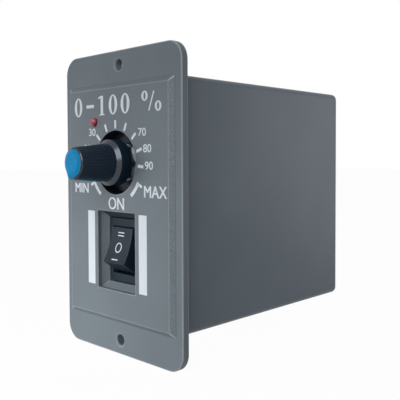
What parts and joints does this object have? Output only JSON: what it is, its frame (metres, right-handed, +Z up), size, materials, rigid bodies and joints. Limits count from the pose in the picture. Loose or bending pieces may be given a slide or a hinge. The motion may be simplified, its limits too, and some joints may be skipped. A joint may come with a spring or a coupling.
{
  "type": "dc motor speed controller",
  "caption": "Panel-mount DC motor speed controller: bezel with speed knob, dial, indicator and three-position rocker, deep housing and a round plug base at the back.",
  "frame": {"origin": "midway between the two mounting holes, on the flange's back face, which rests on the panel", "axes": "+X to the right seen from the front, +Y back into the panel along the housing, +Z up"},
  "size_m": [0.06, 0.1263, 0.1],
  "materials": {
    "panel_abs": "fine matte grain",
    "shell_abs": "fine matte grain",
    "knob_nylon": "satin",
    "cap_blue": "gloss",
    "switch_black": "satin",
    "plunger_nylon": "smooth",
    "lens_red": "clear dyed epoxy",
    "plug_phenolic": "moulded, satin",
    "brass": "plated",
    "steel": "zinc plated",
    "zinc_alloy": "die cast",
    "phenolic_brown": "paper laminate",
    "board_laminate": "solder mask",
    "core_steel": "varnished laminations",
    "bobbin_nylon": "smooth",
    "winding": "enamelled copper",
    "capacitor_sleeve": "shrink sleeve",
    "film_yellow": "moulded box",
    "fuse_glass": "glass with plated end caps",
    "sink_aluminium": "extruded",
    "epoxy_black": "moulded epoxy",
    "trimmer_blue": "smooth",
    "resistor_buff": "coated",
    "header_white": "smooth",
    "wire_red": "insulation",
    "wire_blue": "insulation",
    "wire_yellow": "insulation",
    "wire_grey": "insulation"
  },
  "bodies": {
    "root": {"front_panel": "panel_abs", "body_shell": "shell_abs", "plug_base": "plug_phenolic", "plug_pins": "brass", "plug_screws": "steel", "pot_bushing": "zinc_alloy", "pot_case": "steel", "pot_nut": "steel", "pot_washer": "steel", "pot_track": "phenolic_brown", "pot_lugs": "brass", "switch_housing": "switch_black", "switch_terminals": "brass", "led_lens": "lens_red", "led_leads": "steel", "main_board": "board_laminate", "transformer_core": "core_steel", "transformer_bobbin": "bobbin_nylon", "transformer_coil": "winding", "filter_capacitors": "capacitor_sleeve", "film_capacitor": "film_yellow", "fuse": "fuse_glass", "fuse_clips": "brass", "heat_sink": "sink_aluminium", "thyristors": "epoxy_black", "thyristor_screws": "steel", "rectifier_diodes": "epoxy_black", "control_chip": "epoxy_black", "trimmers": "trimmer_blue", "resistors": "resistor_buff", "wire_headers": "header_white", "pot_wires": "wire_red", "switch_wires": "wire_blue", "led_wires": "wire_yellow", "plug_wires": "wire_grey"},
    "knob_unit": {"knob": "knob_nylon", "knob_cap": "cap_blue", "pot_shaft": "steel", "pot_wiper": "epoxy_black"},
    "rocker_unit": {"rocker": "switch_black", "rocker_plunger": "plunger_nylon", "rocker_spring": "steel"},
    "contact_bar": {"seesaw_contact": "brass"}
  },
  "joints": [
    {"name": "knob_turn", "type": "hinge", "parent": "root", "child": "knob_unit", "pos_m": [0, 0, 0.0134], "axis": [0, 1, 0], "range_deg": [0, 300]},
    {"name": "rocker_tilt", "type": "hinge", "parent": "root", "child": "rocker_unit", "pos_m": [0, 0.0027, -0.0158], "axis": [1, 0, 0], "range_deg": [0, 36]},
    {"name": "contact_tilt", "type": "hinge", "parent": "root", "child": "contact_bar", "pos_m": [0, 0.0098, -0.0158], "axis": [1, 0, 0], "range_deg": [-20, 0]}
  ],
  "couplings": [
    {"joint": "contact_tilt", "follows": "rocker_tilt", "ratio": -0.55}
  ]
}
